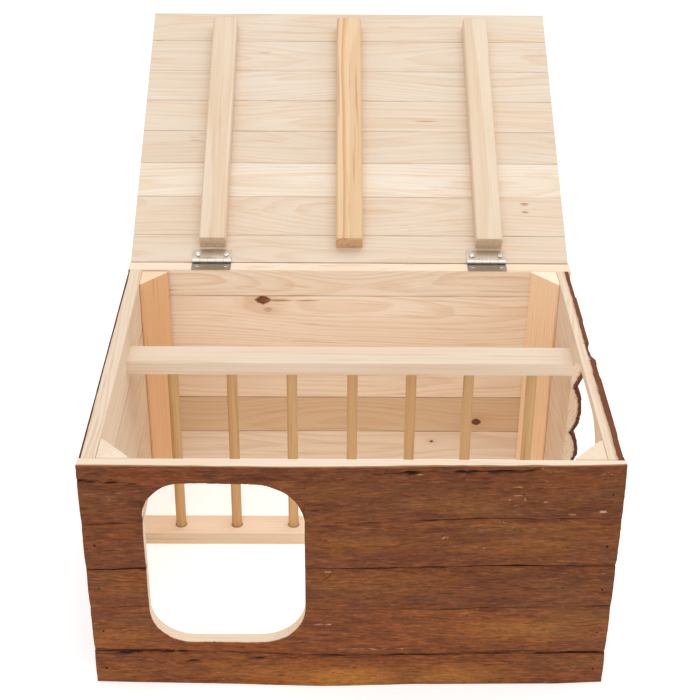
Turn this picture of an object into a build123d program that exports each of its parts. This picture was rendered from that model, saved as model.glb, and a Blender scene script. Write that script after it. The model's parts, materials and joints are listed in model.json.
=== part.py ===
from build123d import *
import os
from collections import namedtuple
from math import cos, radians, sin, sqrt

# Rabbit house: a bottomless box of bark slabs with two doorways, a hay rack inside and a lid
# on two butt hinges. Millimetres, +Z up, +X to the right of someone facing the front wall.
# The lid is drawn wide open, leaning back. The origin is on the ground, in the middle of the
# rectangle that the open house covers.

# Box
house_width = 500.0
wall_height = 259.0
wood_depth = 399.5          # front wall's sawn top edge to the back wall's rear arris
front_inner = 12.0          # inner face of the front wall, behind the front arris
back_inner = 381.0          # inner face of the back wall, behind the front arris
side_inner = 233.5          # inner faces of the side walls, each side of the middle
seam_gap = 0.4              # between neighbouring slabs

# Slab thickness: at the lower edge, at the upper edge and at the crown of the bark
Slab = namedtuple("Slab", "low high low_edge high_edge crown")
front_slabs = (
    Slab(0.0, 35.0, 21.0, 15.0, 21.5),
    Slab(35.0, 93.0, 13.5, 13.5, 16.0),
    Slab(93.0, 142.0, 13.5, 13.5, 15.5),
    Slab(142.0, 197.0, 13.5, 13.5, 16.0),
    Slab(197.0, wall_height, 13.5, front_inner, 16.0),
)
back_slabs = (
    Slab(0.0, 41.0, 12.0, 12.0, 20.0),
    Slab(41.0, 89.5, 12.0, 12.0, 20.5),
    Slab(89.5, 152.0, 12.0, 12.0, 21.0),
    Slab(152.0, 226.0, 12.0, 13.0, 21.5),
    Slab(226.0, wall_height, 14.0, wood_depth - back_inner, 21.0),
)
side_slabs = (
    Slab(0.0, 39.0, 9.0, 9.0, 15.5),
    Slab(39.0, 97.0, 9.0, 9.0, 16.5),
    Slab(97.0, 143.5, 9.0, 9.0, 16.0),
    Slab(143.5, 200.0, 9.0, 9.0, 16.5),
    Slab(200.0, wall_height, 9.0, 15.5, 16.5),
)

# Doorways: both are squares with generous uneven corners, cut after the wall was made
Doorway = namedtuple("Doorway", "start end bottom top radii")
front_door = Doorway(-193.5, -43.5, 49.2, 241.4, (42.0, 44.0, 47.5, 39.0))
side_door = Doorway(67.0, 228.0, 51.5, 250.5, (44.0, 44.0, 44.0, 44.0))

# Corner posts, of triangular section with blunted tips
post_leg = 31.0
post_width = 29.0
post_tip = 2.5
loose_post_gap = 3.5        # the left rear post stands this far off the back wall

# Hay rack
rail_depth = 34.0
rail_height = 15.0
rail_arris = 1.2            # rounding of a rail's long arrises
upper_rail_front = 221.0
upper_rail_bottom = 219.0
lower_rail_front = 214.5
dowel_radius = 5.6
dowel_socket = 9.0
dowel_hole_play = 0.8
dowel_places = (-188.0, -125.5, -62.0, 2.5, 65.0, 126.0, 193.0)

# Lid: seams are distances from the pins along the lid
lid_width = 498.0
lid_lean = 26.7             # above the horizontal, behind the house
lid_seams = (0.5, 39.0, 95.5, 146.5, 196.5, 245.5, 295.0, 346.0, 394.5)
lid_edge = 10.5
lid_crown = 14.5
batten_places = (-156.5, -0.5, 159.0)
batten_start = 21.5
batten_length = 348.0
batten_width = 30.5
batten_face_width = 27.5
batten_thickness = 18.0

# Hinges
hinge_places = (-156.8, 155.6)
hinge_length = 44.0
leaf_width = 17.5           # from the pin's axis
leaf_thickness = 1.0
leaf_corner = 1.2
pin_seat = 2.7              # pin axis above the wood on either side
pin_behind_front = 398.2
knuckle_radius = 2.4
knuckle_count = 5
knuckle_gap = 0.35
pin_radius = 1.2
pin_play = 0.06
pin_overhang = 0.3
leaf_relief = 3.2           # leaf plate starts this far from the pin, clear of the other knuckles
tang_overlap = 0.5          # of a knuckle's tang with the plate

# Fasteners
screw_spacing = 32.0
screw_from_pin = 10.2
screw_head_radius = 3.1
screw_head_height = 1.3
screw_head_round = 0.8
screw_shank_radius = 1.5
screw_shank_length = 10.0
screw_hole_radius = 1.8
screw_slot_width = 0.8
screw_slot_length = 3.6
screw_slot_depth = 0.6
nail_radius = 0.8
nail_head_radius = 1.3
nail_head_height = 0.5
nail_length = 26.0
lid_nail_length = 22.0
side_nail_inset = 15.0      # nails into a post, from the wall's corner
end_nail_place = 239.5      # nails into the side walls' end grain, from the middle
lower_rack_nail_height = 7.5
upper_rack_nail_height = 227.0
rack_nail_offset = 6.0      # rack nails, behind the middle of the rail
side_nail_rise = 6.0        # post nails, above each slab's middle
batten_nail_edge = 8.0      # lid nails stay this far from a batten's ends

# The lid's directions when it is open
lean = radians(lid_lean)
lid_length = lid_seams[-1]
lid_along = Vector(0, cos(lean), sin(lean))
lid_outward = Vector(0, sin(lean), -cos(lean))

# Where the front arris lies, so that the origin is in the middle of the ground covered
front_bulge = max(slab.crown for slab in front_slabs) - front_inner
lid_reach = pin_behind_front + lid_length * cos(lean) + (pin_seat + lid_edge) * sin(lean)
front_arris = -(lid_reach - front_bulge) / 2
pin_axis = Vector(0, front_arris + pin_behind_front, wall_height + pin_seat)
lid_face = pin_axis + lid_outward * pin_seat

parts = {}


def wall_plane(outward, x, y):
    """Plane of a wall's inner face: its local Y is up and its local Z points outward."""
    along = Vector(0, 0, 1).cross(Vector(outward))
    return Plane(origin=(x, y, 0), x_dir=along, z_dir=outward)


front_plane = wall_plane((0, -1, 0), 0, front_arris + front_inner)
back_plane = wall_plane((0, 1, 0), 0, front_arris + back_inner)
left_plane = wall_plane((-1, 0, 0), -side_inner, front_arris)
right_plane = wall_plane((1, 0, 0), side_inner, front_arris)
lid_plane = Plane(origin=lid_face, x_dir=(1, 0, 0), z_dir=lid_outward)


def slab_board(slab, start, end):
    """Slab lying along X: flat face at Z 0, sawn edges, and the bark side as one arc."""
    low = slab.low + seam_gap / 2 * (slab.low > 0)
    high = slab.high
    middle = (low + high) / 2
    outline = Polyline((low, slab.low_edge), (low, 0), (high, 0), (high, slab.high_edge))
    bark = ThreePointArc((high, slab.high_edge), (middle, slab.crown), (low, slab.low_edge))
    section = Plane.YZ.offset(start) * make_face([outline, bark])
    return extrude(section, amount=end - start)


def slab_thickness(slab, height):
    """Thickness of a slab at a height: the arc through its two edges and its crown."""
    middle = (slab.low + slab.high) / 2
    half = (slab.high - slab.low) / 2
    rise = slab.crown - (slab.low_edge + slab.high_edge) / 2
    tilt = (slab.high_edge - slab.low_edge) / 2 * (height - middle) / half
    radius = (half**2 + rise**2) / (2 * rise)
    return slab.crown - radius + sqrt(radius**2 - (height - middle) ** 2) + tilt


def doorway_cutter(door):
    """The doorway as a block that runs through a wall, in that wall's plane."""
    width = door.end - door.start
    height = door.top - door.bottom
    centre = ((door.start + door.end) / 2, (door.bottom + door.top) / 2)
    outline = Pos(*centre) * Rectangle(width, height)
    corners = (
        (door.start, door.bottom),
        (door.end, door.bottom),
        (door.end, door.top),
        (door.start, door.top),
    )
    for (x, z), radius in zip(corners, door.radii):
        nearest = outline.vertices().sort_by_distance((x, z, 0))[0]
        outline = fillet(nearest, radius)
    return extrude(outline, amount=house_width / 4, both=True)


def nail(x, height, surface, length):
    """Round brad driven square into a wall's plane, its head flush with the bark."""
    shank = Pos(x, height, surface - length / 2) * Cylinder(nail_radius, length)
    head_centre = surface - nail_head_height / 2
    head = Pos(x, height, head_centre) * Cylinder(nail_head_radius, nail_head_height)
    return shank + head


def wall_boards(name, plane, slabs, start, end, door, ends):
    """Boards of one wall, numbered from the ground up. A doorway that cuts a board in two
    leaves two pieces, named after the wall's two ends."""
    cutter = doorway_cutter(door) if door else None
    for number, slab in enumerate(slabs, 1):
        board = slab_board(slab, start, end)
        if cutter:
            board = board - cutter
        pieces = (plane * board).solids()
        if len(pieces) == 1:
            parts[f"{name}_board_{number}"] = pieces[0]
            continue
        along = Axis((0, 0, 0), tuple(plane.x_dir))
        for side, piece in zip(ends, pieces.sort_by(along)):
            parts[f"{name}_board_{number}_{side}"] = piece


def corner_post(x_sign, y_corner, y_sign):
    """Triangular post in a corner, its two square faces on the walls and its tips blunted."""
    outline = Polyline(
        (0, 0),
        (post_width, 0),
        (post_width, post_tip),
        (post_tip, post_leg),
        (0, post_leg),
        close=True,
    )
    prism = extrude(make_face(outline), amount=wall_height)
    if x_sign > 0:
        prism = mirror(prism, Plane.YZ)
    if y_sign < 0:
        prism = mirror(prism, Plane.XZ)
    return Pos(x_sign * side_inner, y_corner, 0) * prism


def rail(front, bottom):
    """Planed rail from side wall to side wall, its long arrises eased."""
    block = Box(2 * side_inner, rail_depth, rail_height)
    block = fillet(block.edges().filter_by(Axis.X), rail_arris)
    middle = front_arris + front + rail_depth / 2
    return Pos(0, middle, bottom + rail_height / 2) * block


def dowel_line(x):
    """Axis of a dowel, from the lower rail's middle to the upper rail's middle."""
    lower = front_arris + lower_rail_front + rail_depth / 2
    upper = front_arris + upper_rail_front + rail_depth / 2
    foot = Vector(x, lower, rail_height - dowel_socket)
    head = Vector(x, upper, upper_rail_bottom + dowel_socket)
    return foot, head


def dowel(x, radius):
    """Round rod along the dowel's axis."""
    foot, head = dowel_line(x)
    rod_plane = Plane(origin=(foot + head) / 2, x_dir=(1, 0, 0), z_dir=head - foot)
    return rod_plane * Cylinder(radius, (head - foot).length)


def hay_rack():
    """Two rails and the round dowels between them."""
    upper = rail(upper_rail_front, upper_rail_bottom)
    lower = rail(lower_rail_front, 0)
    for number, x in enumerate(dowel_places, 1):
        rod = dowel(x, dowel_radius)
        parts[f"rack_dowel_{number}"] = rod
        upper = upper - rod
        lower = lower - dowel(x, dowel_radius + dowel_hole_play)
    parts["rack_upper_rail"] = upper
    parts["rack_lower_rail"] = lower


def lid_slabs():
    """The lid's slabs as seen from the hinge: low is the edge nearer to the pins."""
    return [Slab(a, b, lid_edge, lid_edge, lid_crown) for a, b in zip(lid_seams, lid_seams[1:])]


def lid_position(along):
    """Local Y of the lid's plane at a distance from the pins: that plane's Y points to them."""
    return -along


def lid_boards():
    """Slabs of the lid, side by side, bark outward."""
    for number, slab in enumerate(lid_slabs(), 1):
        board = mirror(slab_board(slab, -lid_width / 2, lid_width / 2), Plane.XZ)
        parts[f"lid_board_{number}"] = lid_plane * board


def batten(x):
    """Bar across the lid's boards, on their inner side, its face narrower than its base."""
    half_base = batten_width / 2
    half_face = batten_face_width / 2
    shoulder = batten_thickness - 2 * (half_base - half_face)
    outline = Polyline(
        (x - half_base, 0),
        (x + half_base, 0),
        (x + half_base, -shoulder),
        (x + half_face, -batten_thickness),
        (x - half_face, -batten_thickness),
        (x - half_base, -shoulder),
        close=True,
    )
    across = Plane(origin=(0, lid_position(batten_start), 0), x_dir=(1, 0, 0), z_dir=(0, -1, 0))
    return lid_plane * extrude(across * make_face(outline), amount=batten_length)


def leaf_plane(x, on_lid):
    """Plane of a hinge leaf: origin on the wood under the pin, Y over the wood, Z off it."""
    if on_lid:
        return Plane(origin=lid_face + Vector(x, 0, 0), x_dir=(1, 0, 0), z_dir=-lid_outward)
    foot = pin_axis + Vector(x, 0, -pin_seat)
    return Plane(origin=foot, x_dir=(-1, 0, 0), z_dir=(0, 0, 1))


def screw_places():
    """The screws of one leaf, in its plane."""
    return [(side * screw_spacing / 2, screw_from_pin) for side in (-1, 1)]


def hinge_leaf(on_lid):
    """Steel leaf: a plate with two screw holes and its share of the rolled knuckles."""
    plate_length = leaf_width - leaf_relief
    plate = Pos(0, leaf_relief + plate_length / 2, leaf_thickness / 2) * Box(
        hinge_length, plate_length, leaf_thickness
    )
    upright = plate.edges().filter_by(Axis.Z).sort_by(Axis.Y)
    leaf = fillet(upright[-2:], leaf_corner)
    pitch = hinge_length / knuckle_count
    turn = Rot(0, 90, 0)
    for index in range(knuckle_count):
        if (index % 2 == 1) != on_lid:
            continue
        x = (index - (knuckle_count - 1) / 2) * pitch
        length = pitch - knuckle_gap
        leaf = leaf + Pos(x, 0, pin_seat) * turn * Cylinder(knuckle_radius, length)
        tang_width = leaf_relief + tang_overlap
        tang = Box(length, tang_width, leaf_thickness)
        leaf = leaf + Pos(x, tang_width / 2, leaf_thickness / 2) * tang
    bore = pin_radius + (pin_play if on_lid else 0)
    leaf = leaf - Pos(0, 0, pin_seat) * turn * Cylinder(bore, 2 * hinge_length)
    for x, y in screw_places():
        leaf = leaf - Pos(x, y, 0) * Cylinder(screw_hole_radius, 4 * leaf_thickness)
    return leaf


def hinge_pin():
    """Plain pin, just proud of the outer knuckles."""
    length = hinge_length - knuckle_gap + 2 * pin_overhang
    return Rot(0, 90, 0) * Cylinder(pin_radius, length)


def screw():
    """Pan-head wood screw seated on a leaf: domed head with a cross recess, plain shank."""
    head = Pos(0, 0, screw_head_height / 2) * Cylinder(screw_head_radius, screw_head_height)
    rim = head.edges().sort_by(Axis.Z)[-1]
    head = fillet(rim, screw_head_round)
    slot = Box(screw_slot_length, screw_slot_width, 2 * screw_slot_depth)
    for angle in (0, 90):
        head = head - Pos(0, 0, screw_head_height) * Rot(0, 0, angle) * slot
    shank = Pos(0, 0, -screw_shank_length / 2) * Cylinder(screw_shank_radius, screw_shank_length)
    return Pos(0, 0, leaf_thickness) * (head + shank)


def hinges():
    """Two hinges, with a leaf on the back wall's top edge and a leaf under the lid."""
    screws = {False: [], True: []}
    for side, x in zip(("left", "right"), hinge_places):
        parts[f"hinge_{side}_pin"] = Pos(x, pin_axis.Y, pin_axis.Z) * hinge_pin()
        for on_lid, place in ((False, "wall"), (True, "lid")):
            plane = leaf_plane(x, on_lid)
            parts[f"hinge_{side}_{place}_leaf"] = plane * hinge_leaf(on_lid)
            screws[on_lid] += [plane * (Pos(a, b, 0) * screw()) for a, b in screw_places()]
    return screws[False], screws[True]


def wall_nails():
    """Nails of the four walls: into the side walls' end grain, and into the posts."""
    nails = []
    for plane, slabs in ((front_plane, front_slabs), (back_plane, back_slabs)):
        for slab in slabs:
            height = (slab.low + slab.high) / 2
            for x in (-end_nail_place, end_nail_place):
                nails.append(plane * nail(x, height, slab.crown, nail_length + slab.crown))
    for plane, sign in ((left_plane, -1), (right_plane, 1)):
        for slab in side_slabs:
            height = (slab.low + slab.high) / 2 + side_nail_rise
            surface = slab_thickness(slab, height)
            for y in (front_inner + side_nail_inset, back_inner - side_nail_inset):
                nails.append(plane * nail(sign * y, height, surface, nail_length))
    return nails


def rack_nails():
    """Nails through the side walls into the ends of the rack's rails."""
    nails = []
    for plane, sign in ((left_plane, -1), (right_plane, 1)):
        for slab, height, front in (
            (side_slabs[0], lower_rack_nail_height, lower_rail_front),
            (side_slabs[-1], upper_rack_nail_height, upper_rail_front),
        ):
            surface = slab_thickness(slab, height)
            y = sign * (front + rail_depth / 2 + rack_nail_offset)
            nails.append(plane * nail(y, height, surface, nail_length + surface))
    return nails


def lid_nails():
    """Nails through each lid board into each batten."""
    nails = []
    for slab in lid_slabs():
        middle = (slab.low + slab.high) / 2
        last = batten_start + batten_length - batten_nail_edge
        along = min(max(middle, batten_start + batten_nail_edge), last)
        surface = slab_thickness(slab, along)
        for x in batten_places:
            nails.append(lid_plane * nail(x, lid_position(along), surface, lid_nail_length))
    return nails


def bore_for(fasteners, names):
    """Cuts the fasteners' own holes in the named pieces that they pass through."""
    for name in names:
        piece = parts[name]
        box = piece.bounding_box()
        for item in fasteners:
            other = item.bounding_box()
            apart = (
                other.min.X > box.max.X
                or other.max.X < box.min.X
                or other.min.Y > box.max.Y
                or other.max.Y < box.min.Y
                or other.min.Z > box.max.Z
                or other.max.Z < box.min.Z
            )
            if not apart:
                piece = piece - item
        parts[name] = piece


wall_boards("front", front_plane, front_slabs, -house_width / 2, house_width / 2, front_door,
            ("left", "right"))
wall_boards("back", back_plane, back_slabs, -house_width / 2, house_width / 2, None, ())
wall_boards("left", left_plane, side_slabs, -back_inner, -front_inner, None, ())
wall_boards("right", right_plane, side_slabs, front_inner, back_inner, side_door,
            ("front", "rear"))

front_corner = front_arris + front_inner
back_corner = front_arris + back_inner
parts["post_front_left"] = corner_post(-1, front_corner, 1)
parts["post_front_right"] = corner_post(1, front_corner, 1)
parts["post_back_left"] = corner_post(-1, back_corner - loose_post_gap, -1)
parts["post_back_right"] = corner_post(1, back_corner, -1)

hay_rack()
lid_boards()
for batten_name, batten_x in zip(("left", "middle", "right"), batten_places):
    parts[f"lid_batten_{batten_name}"] = batten(batten_x)

wood = list(parts)
wall_screws, lid_screws = hinges()
fasteners = {
    "wall_nails": wall_nails(),
    "rack_nails": rack_nails(),
    "lid_nails": lid_nails(),
    "hinge_wall_screws": wall_screws,
    "hinge_lid_screws": lid_screws,
}
for group in fasteners.values():
    bore_for(group, wood)
for name, group in fasteners.items():
    parts[name] = Compound(children=group)

os.makedirs("parts", exist_ok=True)
for name, shape in parts.items():
    export_step(shape, f"parts/{name}.step")
print(len(parts), "nodes; front arris at", round(front_arris, 2))
print("pin axis", pin_axis, "total height", round((lid_face + lid_along * lid_length).Z, 1))
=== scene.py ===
import json
from collections import namedtuple
from math import atan2, cos, pi, radians, sin

import bpy
import numpy as np
from mathutils import Matrix, Vector


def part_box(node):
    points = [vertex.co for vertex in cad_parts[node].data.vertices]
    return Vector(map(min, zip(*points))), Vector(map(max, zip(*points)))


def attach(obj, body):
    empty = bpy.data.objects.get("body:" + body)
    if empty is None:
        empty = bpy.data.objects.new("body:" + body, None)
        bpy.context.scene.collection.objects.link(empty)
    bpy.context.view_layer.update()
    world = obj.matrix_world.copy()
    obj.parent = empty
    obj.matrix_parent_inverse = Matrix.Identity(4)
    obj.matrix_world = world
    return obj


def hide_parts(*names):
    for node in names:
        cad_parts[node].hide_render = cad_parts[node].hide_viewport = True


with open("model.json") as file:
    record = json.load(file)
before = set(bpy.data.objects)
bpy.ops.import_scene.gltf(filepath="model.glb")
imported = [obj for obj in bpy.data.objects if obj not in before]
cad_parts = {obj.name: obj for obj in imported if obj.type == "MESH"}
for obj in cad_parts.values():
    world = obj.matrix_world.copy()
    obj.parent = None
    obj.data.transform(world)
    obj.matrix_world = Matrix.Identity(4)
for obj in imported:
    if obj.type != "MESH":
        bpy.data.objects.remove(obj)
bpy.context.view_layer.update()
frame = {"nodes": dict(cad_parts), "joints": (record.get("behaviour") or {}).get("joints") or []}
nodes = frame["nodes"]
mm = 0.001

# Front wall. Five pine slabs with the bark left on, sawn flat inside and nailed to the ends of
# the side walls. The doorway, a square with uneven round corners, was cut through the finished
# wall. Here the helpers for every slab, its bark and its pine are made too.

Side = namedtuple("Side", "origin along up out")
Doorway = namedtuple("Doorway", "start end bottom top radii")
Crack = namedtuple("Crack", "depth width points")
thinnest_bark = 1.2


def rough(x, y, cell_x, cell_y, seed):
    """Smooth random heights from -1 to 1: random values on a lattice with the given cell sizes,
    blended between the four nearest lattice points with the smooth step 3t^2 - 2t^3."""
    table = np.random.default_rng(seed).uniform(-1, 1, (64, 64))
    x, y = np.broadcast_arrays(np.asarray(x) / cell_x, np.asarray(y) / cell_y)
    i, j = np.floor(x).astype(int), np.floor(y).astype(int)
    u, v = x - i, y - j
    u, v = u * u * (3 - 2 * u), v * v * (3 - 2 * v)
    near = table[i % 64, j % 64] * (1 - u) + table[(i + 1) % 64, j % 64] * u
    far = table[i % 64, (j + 1) % 64] * (1 - u) + table[(i + 1) % 64, (j + 1) % 64] * u
    return near * (1 - v) + far * v


def step(x, low, high):
    """Smooth step: 0 below low, 1 above high, 3t^2 - 2t^3 between."""
    t = np.clip((x - low) / (high - low), 0, 1)
    return t * t * (3 - 2 * t)


def line_distance(x, y, points):
    """Distance from each place to a line of straight runs: the least of the distances to its
    runs, each measured to the nearest point between the run's ends."""
    nearest = np.full(np.broadcast(x, y).shape, np.inf)
    for (x0, y0), (x1, y1) in zip(points, points[1:]):
        dx, dy = x1 - x0, y1 - y0
        t = np.clip(((x - x0) * dx + (y - y0) * dy) / (dx**2 + dy**2), 0, 1)
        nearest = np.minimum(nearest, np.hypot(x - x0 - t * dx, y - y0 - t * dy))
    return nearest


def bark_wear(x, y, seed, cracks):
    """Depth in mm that the bark has lost at x along and y across a slab, and how much painted
    shade darkens its fissures and cracks. Long swells, ridges and fine fibres are noise stretched
    along the slab, flakes are noise cut off at a level, and each crack is a ragged groove with a
    bell-shaped section."""
    bent = y + 1.6 * rough(x, y, 34, 16, seed + 1) + 0.5 * rough(x, y, 9, 6, seed + 2)
    wear = 0.6 * (1 + rough(x, bent, 75, 24, seed + 3))
    wear += 0.32 * (1 + rough(x, bent, 34, 6.5, seed + 4))
    wear += 0.24 * (1 + rough(x, bent, 15, 2.8, seed + 5))
    wear += 0.14 * (1 + rough(x, bent, 6, 2.2, seed + 6))
    flakes = rough(x, bent, 26, 5.5, seed + 7) + 0.35 * rough(x, bent, 7, 2.6, seed + 8)
    wear += 0.45 * step(flakes, 0.16, 0.24) + 0.35 * step(flakes, -0.3, -0.24)
    # Fissures: shallow grooves darkened with painted shade.
    fissure = np.exp(-((rough(x, bent, 40, 4.2, seed + 9) / 0.1) ** 2))
    dark = 0.4 * fissure * step(rough(x, y, 24, 8, seed + 10), 0.2, 0.6)
    wear += 0.6 * dark
    ragged = y + 0.9 * rough(x, 0, 7, 1, seed + 12) + 0.5 * rough(x, 0, 2.6, 1, seed + 13)
    for crack in cracks:
        away = line_distance(x, ragged, crack.points)
        open_wide = crack.width * (1 + 0.6 * rough(x, 0, 9, 1, seed + 14))
        groove = np.exp(-((away / open_wide) ** 2))
        groove *= 0.65 + 0.5 * rough(x, y, 11, 9, seed + 11)
        wear += crack.depth * groove
        # Painted shade darkens the crack's groove.
        dark = np.maximum(dark, groove * min(1, 0.5 * crack.depth))
    return wear, dark


def doorway_edge(x, door, upper):
    """Height of a doorway's lower or upper outline at x: straight, and round at its corners,
    where it is the corner's radius less a circle's rise."""
    near, far = (door.radii[3], door.radii[2]) if upper else door.radii[:2]
    from_start = np.clip(near - (x - door.start), 0, near)
    from_end = np.clip(far - (door.end - x), 0, far)
    rise = near - np.sqrt(near**2 - from_start**2) + far - np.sqrt(far**2 - from_end**2)
    return door.top - rise if upper else door.bottom + rise


def stations(start, end, pitch, door, upper):
    """Places along a slab in mm: evenly spaced, and where a doorway's corner turns, spaced
    evenly round its circle."""
    x = np.linspace(start, end, round((end - start) / pitch) + 1)
    if not door:
        return x
    near, far = (door.radii[3], door.radii[2]) if upper else door.radii[:2]
    turn = 1 - np.cos(np.linspace(0, pi / 2, 17))
    hair, room = 0.03, 1
    plain = (x < door.start - room) | (x > door.end + room)
    plain |= (x > door.start + near + room) & (x < door.end - far - room)
    corners = [door.start + near * turn, door.end - far * turn]
    jambs = [door.start - hair, door.end + hair]
    return np.unique(np.round(np.concatenate([x[plain], *corners, jambs]), 4))


def place(side, x, y, z):
    """Points of the row frame for places along, up and out from a side's plane, in mm."""
    moves = [np.asarray(v)[..., None] * np.array(axis) for v, axis in zip((x, y, z), side[1:])]
    return np.array(side.origin) + mm * sum(moves)


def add_piece(name, points, faces, finishes, values, body, replaced, ends=0):
    """Mesh piece from points in metres and faces that point outwards. values are numbers or
    vectors for each point, and ends is how many of the last faces take the last finish."""
    mesh = bpy.data.meshes.new(name)
    mesh.from_pydata(points.tolist(), [], faces)
    for key, value in values.items():
        value = np.asarray(value, np.float32)
        kind = "FLOAT_VECTOR" if value.ndim == 2 else "FLOAT"
        data = mesh.attributes.new(key, kind, "POINT").data
        data.foreach_set("vector" if value.ndim == 2 else "value", value.ravel())
    for finish in finishes:
        mesh.materials.append(finish)
    at_ends = np.arange(len(faces)) >= len(faces) - ends
    mesh.polygons.foreach_set("material_index", at_ends.astype(np.int32))
    mesh.polygons.foreach_set("use_smooth", np.ones(len(faces), bool))
    mesh.set_sharp_from_angle(angle=radians(38))
    piece = bpy.data.objects.new(name, mesh)
    bpy.context.scene.collection.objects.link(piece)
    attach(piece, body)
    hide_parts(*replaced)


def block_faces(rows, columns, flip):
    """Faces of a block of two sheets of points, inner then outer: both sheets, the strips along
    its low and high edges, and last its two ends. flip turns all of them."""
    inner = np.arange(rows * columns).reshape(rows, columns)
    outer = inner + inner.size
    strips = [
        (outer[:-1, :-1], outer[1:, :-1], outer[1:, 1:], outer[:-1, 1:]),
        (inner[:-1, :-1], inner[:-1, 1:], inner[1:, 1:], inner[1:, :-1]),
        (inner[:-1, 0], inner[1:, 0], outer[1:, 0], outer[:-1, 0]),
        (outer[:-1, -1], outer[1:, -1], inner[1:, -1], inner[:-1, -1]),
        (inner[0, :-1], outer[0, :-1], outer[0, 1:], inner[0, 1:]),
        (inner[-1, 1:], outer[-1, 1:], outer[-1, :-1], inner[-1, :-1]),
    ]
    faces = np.concatenate([np.stack(s, -1).reshape(-1, 4) for s in strips])
    return (faces[:, ::-1] if flip else faces).tolist()


def handed(side):
    """1 where a side's three directions are right-handed and -1 where they are left-handed."""
    return round(np.dot(np.cross(side.along, side.up), side.out))


def at(value, x):
    """A dimension at a place along a slab: it is one number, or a function of the place."""
    return value(x) if callable(value) else value


def slab_surface(x, y, look, low, high, rise, seed):
    """Thickness in mm of a slab at x along and y across, how much painted shade darkens it there
    (in fissures, cracks and worn seams) and how much it is worn: a bow from edge to edge, less the
    bark's wear and the worn arrises at its seams. Sawn upper edges are hardly worn."""
    t = (y - low) / (high - low)
    low_edge, high_edge = (at(edge, x) for edge in look["edges"])
    bow = low_edge + (high_edge - low_edge) * t + rise * (1 - (2 * t - 1) ** 2)
    wear, dark = bark_wear(x, y, seed, look.get("cracks", ()))
    opened = 0
    for edge, worn, number in ((y - low, look["worn"][0], 21), (high - y, look["worn"][1], 22)):
        if worn is None:
            fresh = 1 - step(edge, 0, 6)
            wear = wear * (1 - 0.9 * fresh)
            dark = dark * (1 - fresh)
            continue
        worn = at(worn, x)
        deep = worn * (0.9 + 0.6 * rough(x, 0, 22, 1, seed + number))
        reach = 1.1 + 0.6 * rough(x, 0, 31, 1, seed + number + 5)
        opened = opened + deep * np.exp(-np.maximum(edge, 0) / reach)
        # Painted shade along the worn seam, where the slabs meet.
        dark = np.maximum(dark, np.minimum(1, worn) * np.exp(-((edge / 0.6) ** 2)))
    total = wear + opened + look.get("bite", lambda a, b: 0)(x, y)
    keep = 0.6 * np.minimum(low_edge, high_edge)
    return np.maximum(bow - total, keep), dark, wear


def spotted(x, y, spots):
    """How strongly marks show at each place: the strongest of a set of bell-shaped spots,
    each given by its centre, its reach both ways and its strength."""
    amount = 0 * (x + y)
    for sx, sy, wide, tall, strength in spots:
        bell = np.exp(-(((x - sx) / wide) ** 2 + ((y - sy) / tall) ** 2))
        amount = np.maximum(amount, strength * bell)
    return amount


def bark_layer(x, y, look, across, thick, wear, seam, seed):
    """Thickness in mm of the bark at a slab's outer points: what wear has left of it, and more
    at a seam. Where the look gives the wood's thickness at both edges and its bulge between
    them, it is all that lies over the wood instead."""
    if "wood" in look:
        wood_low, wood_high, bulge = look["wood"]
        wood = wood_low + (wood_high - wood_low) * across + bulge * (1 - (2 * across - 1) ** 2)
        return np.maximum(thick - wood, thinnest_bark)
    whole = look["bark"] * (1 + 0.2 * rough(x, y, 24, 12, seed + 61))
    return np.maximum(whole - wear, look.get("least", thinnest_bark)) + 6.0 * seam


def at_seams(from_low, from_high, look, width):
    """How near each place is to a seam, as a bell of this width in mm over each worn edge."""
    edges = zip((from_low, from_high), look["worn"])
    return sum(np.exp(-((edge / width) ** 2)) for edge, worn in edges if worn)


def both(inner, outer):
    """One value for each point of a slab: the inner sheet's, then the outer sheet's."""
    return np.concatenate([np.ravel(inner), np.ravel(outer)])


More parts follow.
